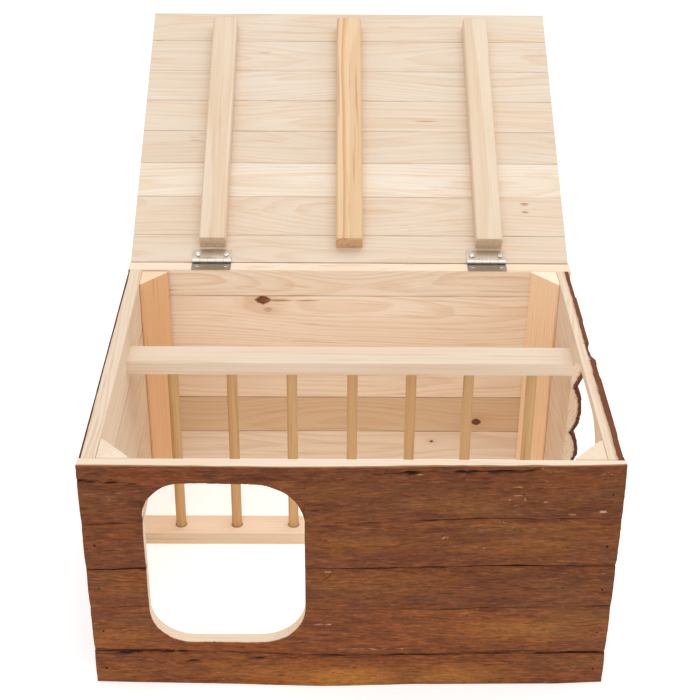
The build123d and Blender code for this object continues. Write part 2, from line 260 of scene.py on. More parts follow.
def slab_board(node, side, span, look, seed, pitch, rows, finishes, body="house",
               door=None, door_cut=None, drift=(None, None)):
    """Slab between seams, its points on two sheets: the sawn inner face and the bark. span is
    (start, end, low, high, crown) in mm. A doorway bounds the slab above or below, as door_cut
    says, and drift moves a seam up or down along the slab. Rows of points lie closer together
    near the slab's edges."""
    start, end, low, high, crown = span
    upper = door_cut == "above"
    x = stations(start, end, pitch, door if door_cut else None, upper)[:, None]
    low_line, high_line = (edge + (moved(x) if moved else 0 * x)
                           for edge, moved in zip((low, high), drift))
    bottom, top = low_line, high_line
    waves = [0.7 * rough(x, 0, 28, 1, number) * (worn is not None)
             for number, worn in zip(look["seam_seeds"], look["worn"])]
    if door_cut:
        inside = (x >= door.start) & (x <= door.end)
        edge = doorway_edge(x, door, upper)
        ragged = 0.35 * rough(x, 0, 5, 1, seed + 31) + 0.25 * rough(x, 0, 1.7, 1, seed + 32)
        cut = (np.abs(ragged) - look.get("overhang", 0)) * inside
        if upper:
            bottom = np.where(inside, np.maximum(edge, bottom), bottom)
            waves[0] = waves[0] * ~inside + cut
        else:
            top = np.where(inside, np.minimum(edge, top), top)
            waves[1] = waves[1] * ~inside - cut
    even = np.linspace(0, 1, rows)[None, :]
    t = 0.45 * even + 0.55 * (0.5 - 0.5 * np.cos(pi * even))
    inner_y = bottom + (top - bottom) * t
    outer_y = inner_y + waves[0] * (1 - t) + waves[1] * t
    rise = look.get("rise", crown - np.mean([np.max(at(edge, x)) for edge in look["edges"]]))
    thick, dark, wear = slab_surface(x, outer_y, look, low_line, high_line, rise, seed)
    hollow = 0.25 * (1 + rough(x, inner_y, 120, 40, seed + 41)) * look.get("cup", 0.4)
    blunt = np.exp(-(inner_y - low_line) / 0.5) + np.exp(-(high_line - inner_y) / 0.5)
    inner_z = hollow + np.where((top - bottom) > 3, 0.35 * blunt, 0)
    along = x + 0 * t
    points = np.concatenate([
        place(side, along, inner_y, inner_z).reshape(-1, 3),
        place(side, along, outer_y, thick).reshape(-1, 3),
    ])
    heart_y = (low + high) / 2 + look.get("heart", 0) + 9 * rough(x, 0, 160, 1, seed + 51)
    heart_z = 26 + 7 * rough(x, 0, 190, 1, seed + 52)
    across = np.clip((outer_y - low_line) / (high_line - low_line), 0, 1)
    seam = at_seams(outer_y - low_line, high_line - outer_y, look, 0.5)
    layer = bark_layer(x, outer_y, look, across, thick, wear, seam, seed)
    # Painted shade along the inner seams between slabs, uneven along them.
    joint = at_seams(inner_y - low_line, high_line - inner_y, look, 0.6)
    joint = joint * (0.6 + 0.4 * rough(x, 0, 33, 1, seed + 71))
    zero = 0 * thick
    grain = (both(along, along) + 700 * (seed % 13), both(inner_y - heart_y, outer_y - heart_y),
             both(inner_z + heart_z, thick + heart_z))
    # Of the values below, crack carries painted shade in the bark's fissures, cracks and worn seams, and
    # the inner seams' value painted shade along them.
    values = {
        "grain": np.stack(grain, -1) * mm,
        "under": both((thick - inner_z) / layer, zero),
        "crack": both(zero, dark + zero),
        "pale": both(zero, spotted(x, outer_y, look.get("pale", ()))),
        "gold": both(zero, spotted(x, outer_y, look.get("gold", ()))),
        "mark": both(spotted(x, inner_y, look.get("marks", ())), zero),
        "joint": both(joint + zero, zero),
    }
    for key, usual in (("tone", 1.0), ("skin", 1.0), ("warm", 0.4)):
        values[key] = np.full(len(points), look.get(key, usual))
    faces = block_faces(len(x), rows, handed(side) < 0)
    add_piece(f"{node}_slab", points, faces, finishes, values, body, [node], 2 * (rows - 1))


class Wire:
    """A shader value in a finish's node tree. Arithmetic on it adds Math nodes."""

    def __init__(self, finish, socket):
        self.finish = finish
        self.socket = socket

    def math(self, operation, *values):
        sockets = dict(enumerate(values))
        return self.finish.node("ShaderNodeMath", {"operation": operation}, sockets)

    def __add__(self, other):
        return self.math("ADD", self, other)

    def __sub__(self, other):
        return self.math("SUBTRACT", self, other)

    def __rsub__(self, other):
        return self.math("SUBTRACT", other, self)

    def __mul__(self, other):
        return self.math("MULTIPLY", self, other)

    def __truediv__(self, other):
        return self.math("DIVIDE", self, other)

    def __pow__(self, other):
        return self.math("POWER", self, other)

    __radd__ = __add__
    __rmul__ = __mul__


def colour(code):
    """Linear colour with alpha from an sRGB hex code."""
    values = [int(code[i:i + 2], 16) / 255 for i in (1, 3, 5)]
    return (*(v / 12.92 if v <= 0.04045 else ((v + 0.055) / 1.055) ** 2.4 for v in values), 1.0)


class Finish:
    """A material with one Principled surface, and the ways to make the nodes that feed it."""

    def __init__(self, name, **constants):
        self.material = bpy.data.materials.new(name)
        self.material.use_nodes = True
        self.tree = self.material.node_tree
        self.surface = self.tree.nodes["Principled BSDF"]
        for socket, value in constants.items():
            self.surface.inputs[socket.replace("_", " ")].default_value = value

    def node(self, kind, settings, sockets, output=0):
        """New node: its settings first, then values or wires for its sockets."""
        made = self.tree.nodes.new(kind)
        for key, value in settings.items():
            if key == "stops":
                ramp = made.color_ramp
                while len(ramp.elements) < len(value):
                    ramp.elements.new(1.0)
                for element, (at, shade) in zip(ramp.elements, value):
                    element.position = at
                    element.color = colour(shade)
            else:
                setattr(made, key, value)
        for key, value in sockets.items():
            if isinstance(value, Wire):
                self.tree.links.new(value.socket, made.inputs[key])
            else:
                made.inputs[key].default_value = value
        return Wire(self, made.outputs[output])

    def feed(self, socket, wire):
        self.tree.links.new(wire.socket, self.surface.inputs[socket])

    def made(self, body, roughness, height_mm):
        """The material, once its surface has its colour, roughness and bump."""
        self.feed("Base Color", body)
        self.feed("Roughness", roughness)
        self.feed("Normal", self.bump(height_mm))
        return self.material

    def value(self, name, output="Fac"):
        return self.node("ShaderNodeAttribute", {"attribute_name": name}, {}, output)

    def parts(self, vector):
        split = self.node("ShaderNodeSeparateXYZ", {}, {0: vector})
        return [Wire(self, split.socket.node.outputs[i]) for i in range(3)]

    def joined(self, x, y, z):
        return self.node("ShaderNodeCombineXYZ", {}, {0: x, 1: y, 2: z})

    def spot(self):
        return self.node("ShaderNodeTexCoord", {}, {}, "Object")

    def scaled(self, vector, cells):
        sockets = {0: vector, 1: cells}
        return self.node("ShaderNodeVectorMath", {"operation": "MULTIPLY"}, sockets)

    def noise(self, vector, cells, detail=2.0, roughness=0.5, distortion=0.0):
        """Noise about 0.5, with this many cells to the metre along each direction."""
        sockets = {"Vector": self.scaled(vector, cells), "Scale": 1.0, "Detail": detail,
                   "Roughness": roughness, "Distortion": distortion}
        return self.node("ShaderNodeTexNoise", {}, sockets)

    def ease(self, value, low, high, to_low=0.0, to_high=1.0):
        """Smooth step of a value between two limits."""
        sockets = {"Value": value, "From Min": low, "From Max": high, "To Min": to_low,
                   "To Max": to_high}
        return self.node("ShaderNodeMapRange", {"interpolation_type": "SMOOTHSTEP"}, sockets)

    def mix(self, amount, first, second, blend="MIX"):
        """Blend of two colours, each a wire or a hex code."""
        first, second = (colour(c) if isinstance(c, str) else c for c in (first, second))
        settings = {"data_type": "RGBA", "blend_type": blend, "clamp_factor": True}
        return self.node("ShaderNodeMix", settings, {0: amount, 6: first, 7: second}, 2)

    def shade(self, first, value):
        """A colour times a grey value."""
        return self.mix(1.0, first, self.joined(value, value, value), "MULTIPLY")

    def bump(self, height_mm, strength=1.0):
        sockets = {"Strength": strength, "Distance": mm, "Height": height_mm}
        return self.node("ShaderNodeBump", {}, sockets)


def knotted(f, knots, spot, across):
    """Core, rim and halo of a board's knots, and the grain's place across it as the fibres flow
    round them. A knot has its centre and its reach both ways in metres, and a strength."""
    marks = None
    for centre, (wide, tall), strength in knots:
        moved = f.node("ShaderNodeVectorMath", {"operation": "SUBTRACT"}, {0: spot, 1: centre})
        dx, _, dz = f.parts(moved)
        wobble = f.noise(spot, (260, 260, 260), 1.0) - 0.5
        reach = (((dx / wide) ** 2) ** 0.7 + ((dz / tall) ** 2) ** 0.7 + wobble * 0.9) ** 0.7
        core = (1 - f.ease(reach, 0.55, 1.0)) * strength
        rim = f.ease(reach, 0.35, 0.8) * (1 - f.ease(reach, 0.95, 1.25)) * strength
        away = (dx / (wide * 3.6)) ** 2 + (dz / (tall * 2.6)) ** 2
        halo = away.math("EXPONENT", away * -1.0)
        across = across - halo * dz * 0.75
        found = (core, rim, halo)
        marks = tuple(a.math("MAXIMUM", a, b) for a, b in zip(marks, found)) if marks else found
    return marks, across


def pine(f, grain, tone, warm, sap, late, contrast, ring=3.4, knots=(), spot=None, end=False):
    """Pine as a solid: growth rings round the log's heart, fibres along it and knots through
    it. Gives colour, roughness and height in mm. grain runs along, across and away from the
    heart."""
    _, across, deep = f.parts(grain)
    marks, across = knotted(f, knots, spot, across)
    bend = f.noise(grain, (2.4, 17, 17), 2.0) - 0.5
    lean = f.noise(grain, (1.3, 9, 9), 1.0) - 0.5
    radius = ((across + bend * 0.013) ** 2 + (deep + lean * 0.018) ** 2) ** 0.5
    uneven = f.noise(grain, (1.2, 34, 34), 2.0) * 2.2
    rings = radius / (ring * mm) + f.noise(grain, (4, 60, 60), 1.0) * 0.6 + uneven
    phase = rings.math("FRACT", rings)
    strength = f.node("ShaderNodeTexWhiteNoise", {"noise_dimensions": "1D"},
                      {"W": rings.math("FLOOR", rings)})
    wood_late = f.ease(phase, 0.3, 0.9) * (1 - f.ease(phase, 0.9, 1.0)) * (strength * 0.8 + 0.2)
    fibre = f.noise(grain, (14, 900, 900), 2.0, 0.6)
    thread = f.noise(grain, (9, 420, 420), 3.0, 0.65)
    streak = f.ease(f.noise(grain, (6, 230, 230), 3.0, 0.6), 0.56, 0.7)
    cloud = f.noise(grain, (7, 26, 26), 2.0)
    body = f.mix(f.ease(cloud, 0.35, 0.7) * 0.5, sap[0], sap[1])
    body = f.mix(warm * 0.8, body, sap[2])
    body = f.mix(wood_late * contrast, body, late[0])
    body = f.mix(streak * (0.15 + contrast * 0.5), body, late[1])
    shine = (fibre - 0.5) * 0.1 + (thread - 0.5) * 0.16 + 1
    height = wood_late * 0.05 + fibre * 0.05
    rough_value = 0.6 + (fibre - 0.5) * 0.12
    if end:
        cells = f.scaled(grain, (300, 620, 620))
        dots = f.node("ShaderNodeTexVoronoi", {}, {"Vector": cells, "Scale": 1.0, "Randomness": 1.0})
        open_there = f.ease(f.noise(grain, (120, 210, 210), 1.0), 0.42, 0.56)
        pore = (1 - f.ease(dots, 0.16, 0.34)) * open_there
        saw = f.noise(grain, (200, 40, 1400), 1.0)
        body = f.mix(0.2, body, late[0])
        body = f.mix(pore * 0.7, body, "#8a5a33")
        shine = shine * ((saw - 0.5) * 0.16 + 1)
        height = height + saw * 0.08 - pore * 0.15
    if marks:
        core, rim, halo = marks
        check = f.ease(f.noise(spot, (700, 700, 700), 2.0), 0.5, 0.62)
        body = f.mix(halo * 0.35, body, late[1])
        body = f.mix(core, body, "#8a5028")
        body = f.mix(rim * 0.8, body, "#4b2614")
        body = f.mix(core * check * 0.6, body, "#2a140b")
        height = height - rim * 0.12 - core * check * 0.25
    return f.shade(body, tone * shine), rough_value, height


def bark(f, grain):
    """Bark: red-brown fibres with dark furrows, golden and grey weathering with some gold standing
    as painted highlight, pale chips where it has splintered, and near-black painted shade in
    cracks, fissures and worn seams. Gives colour, roughness and height in mm."""
    furrow = f.noise(grain, (42, 300, 110), 5.0, 0.7, 0.3)
    hair = f.noise(grain, (70, 760, 500), 3.0, 0.7)
    patch = f.noise(grain, (9, 44, 24), 4.0, 0.6, 0.4)
    plate = f.noise(grain, (46, 160, 70), 5.0, 0.72, 0.5)
    weather = f.noise(grain, (5.5, 30, 16), 3.0)
    fleck = f.noise(grain, (110, 480, 300), 3.0, 0.65)
    grit = f.noise(grain, (150, 430, 400), 5.0, 0.8)
    thread = f.noise(grain, (42, 420, 200), 3.0, 0.65)
    stops = [(0.26, "#371a0e"), (0.4, "#5a2f18"), (0.5, "#6f3c1e"), (0.6, "#814824"),
             (0.76, "#9b5d30")]
    body = f.node("ShaderNodeValToRGB", {"stops": stops}, {0: furrow * 0.5 + plate * 0.5})
    body = f.mix(f.ease(patch, 0.5, 0.66) * 0.6, body, "#80481d")
    body = f.mix((1 - f.ease(patch, 0.34, 0.48)) * 0.55, body, "#5a2e1e")
    body = f.mix(f.ease(weather, 0.54, 0.7) * 0.5, body, "#734b27")
    body = f.mix((1 - f.ease(weather, 0.3, 0.44)) * 0.4, body, "#87421b")
    # Gold patches from the slab's values: golden weathering, and on the front wall partly painted
    # highlight.
    body = f.mix(f.value("gold") * 0.8, body, f.shade("#a4692c", furrow * 1.3 + 0.35))
    body = f.mix(f.ease(thread, 0.56, 0.68) * 0.32, body, "#a4633a")
    body = f.mix((1 - f.ease(thread, 0.34, 0.44)) * 0.35, body, "#43220f")
    body = f.shade(body, ((hair - 0.5) * 1.3 + (grit - 0.5) * 1.3 + 1) * f.value("skin"))
    chips = f.ease(fleck, 0.62, 0.72) * f.ease(plate, 0.45, 0.6) * 0.5
    body = f.mix(chips, body, "#b58558")
    body = f.mix((1 - f.ease(fleck, 0.28, 0.4)) * 0.75, body, "#2c170d")
    chip = f.ease(f.value("pale") * (grit * 3.4 + hair * 2.4 - 2.4), 0.4, 0.75)
    body = f.mix(chip * 0.75, body, f.shade("#cfa982", hair + 0.45))
    # Near-black painted shade in the bark's fissures, cracks and worn seams.
    crack = f.value("crack")
    body = f.mix(f.ease(crack * (0.3 + grit * 1.4), 0.22, 0.8) * 0.88, body, "#1d0f09")
    rough_value = 0.7 + (furrow - 0.5) * 0.3
    height = furrow * 1.1 + hair * 0.3 + plate * 0.8 + grit * 0.35 - f.ease(crack, 0.3, 1.0) * 0.4
    return body, rough_value, height


slab_sap = ("#f2e4d3", "#ebd7be", "#e5c5a0")
slab_late = ("#d0a275", "#c8935f")
faint_late = ("#dfc09b", "#d6b087")


def slab_finish(name, end=False, knots=(), contrast=0.4, ring=3.4, late=slab_late, rim="#4a2a1c",
                joint=0.7):
    """Finish of a slab: bark outside, and pine wherever the saw went through the bark. rim is
    the colour of the bark where it was sawn, and the last argument how dark the painted shade along the
    inner seams is."""
    f = Finish(name, IOR=1.3)
    grain = f.value("grain", "Vector")
    spot = f.spot() if knots else None
    tone, warm = f.value("tone"), f.value("warm")
    wood = pine(f, grain, tone, warm, slab_sap, late, contrast, ring, knots, spot, end)
    skin = bark(f, grain)
    depth = f.value("under") + (f.noise(grain, (60, 300, 300), 2.0) - 0.5) * 0.5
    inside = f.ease(depth, 0.8, 1.0)
    rind = inside * (1 - f.ease(depth, 1.0, 1.5))
    streaks = f.noise(grain, (20, 500, 500), 2.0, 0.6)
    marked = f.ease(f.value("mark") * (0.4 + streaks * 1.3), 0.3, 0.8)
    body = f.mix(marked * 0.85, wood[0], "#b47c49")
    # Painted shade along the inner seams between slabs.
    body = f.mix(f.value("joint") * joint, body, "#8a5c38")
    body = f.mix(rind * 0.4, body, "#a8703f")
    cut_bark = f.ease(depth, 0.06, 0.2)
    outer = f.mix(cut_bark * 0.8, skin[0], rim)
    roughness, height = (a + (b - a) * inside for a, b in zip(skin[1:], wood[1:]))
    return f.made(f.mix(inside, outer, body), roughness, height)


front_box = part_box("front_board_1")
front_side = Side((0, front_box[1].y, 0), (1, 0, 0), (0, 0, 1), (0, -1, 0))
front_door = Doorway(-193.5, -43.5, 49.2, 241.4, (42.0, 44.0, 47.5, 39.0))

front_cracks = (
    Crack(1.8, 1.1, ((-251, 242.5), (-226, 241.0), (-197, 239.5))),
    Crack(1.2, 0.9, ((-46, 240.0), (-20, 244.0), (10, 249.0), (40, 252.0))),
    Crack(2.6, 1.5, ((40, 252.0), (75, 252.6), (110, 252.6), (150, 252.5), (172, 255.5))),
    Crack(1.1, 0.9, ((-251, 68.5), (-195, 68.0))),
    Crack(2.0, 1.1, ((-251, 34.0), (-222, 35.5), (-200, 37.0), (-160, 36.5))),
    Crack(1.6, 1.0, ((-162, 26.0), (-130, 28.0), (-100, 30.0), (-30, 30.5))),
    Crack(1.4, 0.9, ((158, 119.0), (205, 120.0), (250, 121.5))),
    Crack(1.9, 1.0, ((-17, 139.0), (-21, 132.0), (-27, 128.0), (-33, 119.0))),
    Crack(1.1, 0.9, ((60, 82.0), (100, 79.0), (135, 80.0))),
    Crack(1.0, 0.9, ((-250, 178.0), (-228, 176.0))),
    Crack(1.2, 0.8, ((160, 219.0), (182, 218.5), (205, 218.0))),
    Crack(1.8, 1.4, ((146, 218.6), (156, 219.0))),
)


def line(*points):
    """Function of place along a slab that follows a line through (place, value) points."""
    xs, ys = zip(*points)
    return lambda x: np.interp(x, xs, ys)


front_drift = {
    35: line((-250, 3.0), (-200, 2.5), (-130, 1.0), (-35, -3.2), (5, -3.5), (65, -2.0), (105, -1.0),
             (165, 1.0), (250, 1.0)),
    93: line((-250, 1.5), (-200, 0.5), (-40, -1.5), (60, -2.5), (85, -2.7), (125, -0.2), (165, 0.5),
             (225, 2.4), (250, 3.2)),
    142: line((-250, -3.6), (-225, -3.6), (-205, -2.4), (-35, -0.6), (5, -1.5), (45, -0.3),
              (85, 1.0), (125, 2.7), (250, 2.6)),
    197: line((-250, -5.4), (-220, -4.2), (-200, -2.8), (-35, -2.4), (5, -2.2), (45, 0.2),
              (85, 1.4), (125, 3.4), (165, 3.1), (250, 3.6)),
    "top": line((-250, 0.0), (-100, -0.3), (250, -0.5)),
}
front_open = {
    35: line((-250, 0.9), (-200, 0.8), (-150, 0.3), (-130, 0.1), (-40, 0.5), (-20, 0.8), (80, 0.8),
             (120, 0.5), (160, 0.9), (230, 1.2), (250, 1.0)),
    93: line((-250, 0.05), (50, 0.05), (70, 0.6), (150, 0.7), (170, 0.1), (215, 0.2), (250, 0.8)),
    142: line((-250, 1.2), (-200, 1.2), (-45, 0.5), (0, 0.9), (60, 0.7), (90, 0.9), (110, 1.3),
              (125, 0.8), (165, 1.5), (250, 1.5)),
    197: line((-250, 0.5), (-220, 0.8), (-190, 0.4), (-30, 0.3), (50, 0.3), (70, 0.8), (150, 0.6),
              (180, 0.5), (205, 0.8), (250, 0.5)),
}
front_low = line((-250, 15.0), (-208, 16.2), (-164, 17.2), (-118, 18.2), (-65, 20.2), (-26, 21.4),
                 (-1, 20.8), (61, 18.4), (205, 17.2), (250, 14.4))
front_high = line((-250, 13.2), (-150, 13.8), (-100, 14.2), (-50, 14.4), (0, 14.0), (50, 12.8),
                  (100, 11.6), (200, 10.8), (250, 8.8))
front_pale = {
    5: ((152, 227, 6, 2.0, 1.0), (145, 222, 2.2, 4.5, 0.9), (159, 222, 2.2, 4.5, 0.9),
        (152, 215.5, 6, 2.4, 1.0), (152, 209, 6, 2.0, 0.8), (206, 206, 10, 1.8, 1.1),
        (232, 209, 6, 3.0, 1.1), (178, 220, 5, 1.4, 1.0), (173, 257, 1.4, 3.5, 1.3),
        (60, 250, 20, 1.2, 0.8), (231, 250, 9, 1.5, 1.0), (152, 236, 9, 1.8, 0.8),
        (249, 207, 5, 1.6, 1.0)),
    4: ((87, 180, 6, 1.8, 1.0), (140, 196, 30, 1.4, 0.9), (5, 193, 20, 1.2, 0.7),
        (120, 168, 9, 3, 0.8)),
    3: ((-22, 137, 6, 3.0, 1.1), (95, 107, 12, 2.0, 0.5), (150, 141, 40, 1.4, 0.45)),
    2: ((-25, 73, 16, 3.0, 0.9), (20, 41, 48, 1.2, 1.0), (-30, 64, 6, 1.6, 0.6),
        (110, 40.5, 30, 1.2, 0.6)),
    1: ((-60, 33, 40, 1.0, 0.6), (-172, 12, 22, 9, 0.45)),
}
# Gold patches on the front's slabs: centre along and up, reach both ways, strength. Most are the bark's
# golden weathering; the broad patches low on slab 1, where its flare faces up, and the thin strip on
# slab 4 just under its seam with slab 5 are painted highlights.
front_gold_and_highlight = {
    1: ((-5, 8, 55, 14, 1.0), (-70, 14, 60, 12, 0.5), (90, 10, 60, 12, 0.6),
        (-225, 14, 30, 10, 0.2)),
    2: ((-215, 60, 40, 12, 0.2), (170, 67, 60, 14, 0.4)),
    3: ((20, 122, 60, 12, 0.2), (-225, 118, 30, 15, 0.25)),
    4: ((15, 173, 45, 9, 0.35), (190, 172, 60, 12, 0.25), (150, 193, 110, 2, 0.4)),
    5: ((100, 219, 60, 12, 0.25),),
}
front_seams = {1: (None, 35), 2: (35, 93), 3: (93, 142), 4: (142, 197), 5: (197, "top")}
front_edges = {1: (front_low, 14.0), 2: (12.8, 13.5), 5: (13.5, front_high)}
front_skin = {1: 1.28, 2: 1.26, 3: 1.06, 4: 1.04, 5: 0.98}

front_finish = [slab_finish("front_slab", contrast=0.22, late=faint_late, rim="#b0744a"),
                slab_finish("front_slab_end", end=True)]


def reach(node, side):
    """Span of a board along its wall, up it and out of it, in mm, from its box."""
    corners = np.array([tuple(c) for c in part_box(node)]) - np.array(side.origin)
    spans = [np.sort(corners @ np.array(axis)) / mm for axis in side[1:]]
    return spans[0][0], spans[0][1], spans[1][0], spans[1][1], spans[2][1]


def wall_number(node):
    """Number of a board in its wall, from the ground up."""
    return int(node.split("_board_")[1][0])


def chipped_top(x, y):
    """Frayed top arris of the front wall, in mm of depth."""
    return 0.5 * step(rough(x, 0, 16, 1, 77), 0.15, 0.6) * step(y, 252.5, 256) * step(x, 20, 60)


for node in sorted(n for n in nodes if n.startswith("front_board")):
    number = wall_number(node)
    low_seam, high_seam = front_seams[number]
    look = {
        "edges": front_edges.get(number, (13.5, 13.5)),
        "cracks": front_cracks,
        "worn": (front_open.get(low_seam), front_open.get(high_seam)),
        "seam_seeds": (100 + number, 101 + number),
        "bark": 2.4,
        "rise": 2.4,
        "pale": front_pale[number],
        "gold": front_gold_and_highlight[number],
        "skin": front_skin[number],
    }
    if number == 5:
        look["bite"] = chipped_top
        look["overhang"] = 1.1
    cut = {2: "below", 5: "above"}.get(number)
    slab_board(node, front_side, reach(node, front_side), look, 200 + 10 * number, 1.6, 62,
               front_finish, door=front_door, door_cut=cut,
               drift=(front_drift.get(low_seam), front_drift.get(high_seam)))

# Back wall. Five slabs like the front's, without a doorway. Their inner faces show growth
# rings, a black knot and an oval one high up on the left, and two more low on the right.

slab_side = slab_finish("bark_and_pine")
slab_end = slab_finish("bark_and_pine_end", end=True)
slab_ends = [slab_side, slab_end]
back_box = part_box("back_board_1")
back_side = Side((0, back_box[0].y, 0), (1, 0, 0), (0, 0, 1), (0, 1, 0))


def random_cracks(low, high, start, end, seed):
    """A few shallow cracks along a slab, at random places."""
    rng = np.random.default_rng(seed)
    cracks = []
    for _ in range(4):
        x, y = rng.uniform(start, end), rng.uniform(low + 6, high - 6)
        long, fall = rng.uniform(25, 110), rng.uniform(-2.5, 2.5)
        points = ((x, y), (x + long / 2, y + fall), (x + long, y + fall * 0.3))
        cracks.append(Crack(rng.uniform(0.7, 1.7), 0.9, points))
    return tuple(cracks)


def plain_look(number, last, span, seeds, tones, worn, bark, **more):
    """Look of a slab with cracks at random places and as much wear at both of its seams. seeds
    are for the cracks and the seams, and tones gives each slab's tone and warmth."""
    tone, warm = tones[number]
    return {
        "cracks": random_cracks(span[2], span[3], span[0], span[1], seeds[0] + number),
        "worn": (None if number == 1 else worn, None if number == last else worn),
        "seam_seeds": (seeds[1] + number, seeds[1] + 1 + number),
        "bark": bark,
        "tone": tone,
        "warm": warm,
        **more,
    }


back_edges = {1: (12.0, 12.0), 2: (12.0, 12.0), 3: (12.0, 12.0), 4: (12.0, 13.0), 5: (14.0, 18.5)}
# Tone and warmth of each back slab. The two lowest are darker and the second much warmer: partly their
# own tone, partly painted shade and painted warm bounce light low behind the rack.
back_tones = {1: (0.97, 0.45), 2: (0.9, 1.3), 3: (1.08, 0.5), 4: (1.15, 0.35), 5: (1.1, 0.4)}
back_knots = {
    1: [((0.1008, 0.0, 0.0268), (0.0022, 0.0016), 0.9)],
    2: [((0.1533, 0.0, 0.0549), (0.0058, 0.0046), 1.0)],
    3: [((-0.186, 0.0, 0.128), (0.0045, 0.0032), 0.6)],
    4: [((-0.0987, 0.0, 0.2207), (0.0085, 0.0052), 1.0),
        ((-0.0932, 0.0, 0.2080), (0.0050, 0.0030), 0.25)],
}
back_marks = ((-80, 220.4, 22, 2.0, 0.9), (-50, 220.2, 22, 1.6, 0.7), (-55, 170, 60, 1.6, 0.5),
              (60, 232, 60, 1.6, 0.45), (-205, 233, 18, 1.4, 0.6), (150, 226, 60, 1.4, 0.4))
for number in range(1, 6):
    node = f"back_board_{number}"
    span = reach(node, back_side)
    thin = number == 5
    look = plain_look(
        number, 5, span, (300, 110), back_tones, 1.4, 0.5 if thin else 1.6,
        edges=back_edges[number],
        least=0.4 if thin else thinnest_bark,
        heart={4: 18.0, 2: -10.0}.get(number, 0.0),
        gold=((-120 + 60 * number, span[2] + 20, 60, 12, 0.5),),
        marks=back_marks,
    )
    inner = slab_side
    if number in back_knots:
        inner = slab_finish(f"back_slab_{number}", knots=back_knots[number])
    slab_board(node, back_side, span, look, 310 + 10 * number, 2.8, 32, [inner, slab_end])

# Left wall. Five slabs between the front and the back wall, with a thin bark. The rack's rails
# are nailed through them.

left_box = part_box("left_board_1")
left_side = Side((left_box[1].x, 0, 0), (0, 1, 0), (0, 0, 1), (-1, 0, 0))
side_edges = {1: (9.0, 9.0), 2: (9.0, 9.0), 3: (9.0, 9.0), 4: (9.0, 9.0), 5: (9.0, 15.5)}
left_tones = {1: (0.94, 0.6), 2: (0.9, 0.7), 3: (0.94, 0.5), 4: (0.9, 0.65), 5: (0.95, 0.45)}
for number in range(1, 6):
    node = f"left_board_{number}"
    span = reach(node, left_side)
    look = plain_look(
        number, 5, span, (400, 120), left_tones, 1.6, 1.8,
        edges=side_edges[number],
        pale=((-150 + 70 * number, span[2] + 15, 12, 3, 0.9),),
        gold=((120 - 60 * number, span[2] + 25, 70, 12, 0.4),),
    )
    slab_board(node, left_side, span, look, 410 + 10 * number, 3.0, 28, slab_ends)

# Right wall. Five slabs with a thick bark that has broken away in steps along the top. The
# doorway shows their cut ends: pale wood with pores, and the bark round it, painted darker
# there than along the top as painted shade.

right_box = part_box("right_board_1")
right_side = Side((right_box[0].x, 0, 0), (0, 1, 0), (0, 0, 1), (1, 0, 0))
front_inner = 12.0
front_arris = right_box[0].y / mm - front_inner
side_door = Doorway(front_arris + 67.0, front_arris + 228.0, 51.5, 250.5, (44.0, 44.0, 44.0, 44.0))
# The sawn bark's rim is a lighter, lit copy on the slabs' faces and along the top, and a darker, shaded
# copy on their ends in the doorway: painted light and painted shade.
right_finish = [slab_finish("right_slab", rim="#7a4429"),
                slab_finish("right_slab_end", end=True, rim="#5a3322")]
right_tones = {1: (0.96, 0.5), 2: (0.95, 0.5), 3: (0.96, 0.45), 4: (0.95, 0.55), 5: (0.97, 0.5)}


def broken_top(x, y):
    """Bark broken away in steps near the top of the right wall, in mm of depth."""
    y_near = x - front_arris
    bite = 2.6 * step(y_near, 191, 193) * (1 - step(y_near, 221, 222))
    bite = bite + 1.2 * step(y_near, 193, 194) + 1.0 * step(y_near, 318, 321)
    bite = bite + 0.7 * step(rough(y_near, 0, 24, 1, 91), 0.1, 0.2)
    return bite * step(y, 236, 250)


for node in sorted(n for n in nodes if n.startswith("right_board")):
    number = wall_number(node)
    span = reach(node, right_side)
    look = plain_look(
        number, 5, span, (500, 130), right_tones, 1.8, 5.0,
        edges=side_edges[number],
        wood=(2.8, 8.6, 4.0) if number == 5 else (2.8, 2.8, 7.4),
        pale=((-100 + 60 * number, span[2] + 22, 9, 3, 0.9),),
        gold=((100 - 50 * number, span[2] + 20, 60, 12, 0.4),),
    )
    if number == 5:
        look["bite"] = broken_top
    cut = {2: "below", 5: "above"}.get(number)
    slab_board(node, right_side, span, look, 510 + 10 * number, 2.6, 30, right_finish,
               door=side_door, door_cut=cut)

# Corner posts. Triangular pine posts stand in the corners behind the slabs, which are nailed to
# them. They were ripped from a square bar, so on the real posts the long face is a little rougher;
# here all their faces take the same finish.


def rounded(corners, radius, turns=4):
    """Closed outline with each corner replaced by an arc that touches both of its sides."""
    outline = []
    for before, corner, after in zip(corners[-1:] + corners[:-1], corners, corners[1:] + corners[:1]):
        a, c, b = (np.array(p, float) for p in (before, corner, after))
        u, v = (a - c) / np.linalg.norm(a - c), (b - c) / np.linalg.norm(b - c)
        half = np.arccos(np.clip(u @ v, -1, 1)) / 2
        centre = c + (u + v) / np.linalg.norm(u + v) * radius / np.sin(half)
        first, last = (c + w * radius / np.tan(half) - centre for w in (u, v))
        start, sweep = atan2(first[1], first[0]), atan2(last[1], last[0]) - atan2(first[1], first[0])
        sweep = (sweep + pi) % (2 * pi) - pi
        angles = start + sweep * np.linspace(0, 1, turns + 1)
        outline.append(centre + radius * np.stack([np.cos(angles), np.sin(angles)], -1))
    return np.concatenate(outline)


def tube_faces(rows, columns, flip):
    """Faces of a tube of rings of points, and last the flat ones over its first and its last
    ring. They point outwards if the rings run anticlockwise as the last ring faces; flip turns
    them."""
    ring = np.arange(rows * columns).reshape(rows, columns)
    after = np.roll(ring, -1, axis=1)
    walls = np.stack([ring[:-1], after[:-1], after[1:], ring[1:]], -1).reshape(-1, 4)
    faces = [*walls.tolist(), ring[0, ::-1].tolist(), ring[-1].tolist()]
    return [face[::-1] for face in faces] if flip else faces


